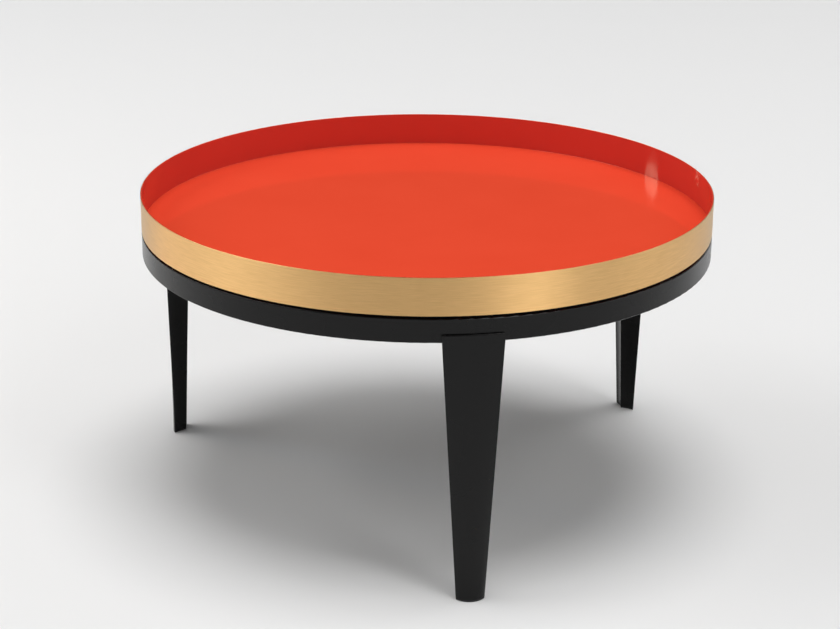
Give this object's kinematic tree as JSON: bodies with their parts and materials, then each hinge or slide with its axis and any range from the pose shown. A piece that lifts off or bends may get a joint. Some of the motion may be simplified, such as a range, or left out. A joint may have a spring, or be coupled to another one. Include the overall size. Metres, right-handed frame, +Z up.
{
  "type": "round cocktail table",
  "caption": "Low round cocktail table: a deep lacquered tray with a brushed brass band rests on a black ring base with tapered, inward-ridged legs, and lifts off.",
  "frame": {"origin": "on the floor, under the centre of the tray and the ring", "axes": "+Z up; -Y faces the viewer, and the front leg stands 8.5 degrees from -Y towards +X"},
  "size_m": [0.8, 0.8112, 0.438],
  "materials": {
    "red_lacquer": "gloss lacquer",
    "brass": "brushed along the band",
    "black_steel": "satin powder coat",
    "black_board": "black paint",
    "black_rubber": "matte",
    "black_plastic": "moulded"
  },
  "bodies": {
    "base": {"base_ring": "black_steel", "leg_front": "black_steel", "leg_cap_front": "black_steel", "leg_gusset_front": "black_steel", "foot_insert_front": "black_plastic", "leg_right": "black_steel", "leg_cap_right": "black_steel", "leg_gusset_right": "black_steel", "foot_insert_right": "black_plastic", "leg_left": "black_steel", "leg_cap_left": "black_steel", "leg_gusset_left": "black_steel", "foot_insert_left": "black_plastic", "support_tab_1": "black_steel", "bumper_1": "black_rubber", "support_tab_2": "black_steel", "bumper_2": "black_rubber", "support_tab_3": "black_steel", "bumper_3": "black_rubber", "support_tab_4": "black_steel", "bumper_4": "black_rubber", "support_tab_5": "black_steel", "bumper_5": "black_rubber", "support_tab_6": "black_steel", "bumper_6": "black_rubber"},
    "tray": {"tray_pan": "red_lacquer", "tray_band": "brass", "tray_board": "black_board"}
  },
  "joints": [
    {"name": "tray_lift", "type": "slide", "parent": "base", "child": "tray", "axis": [0, 0, 1], "range_m": [0, 0.15]}
  ]
}
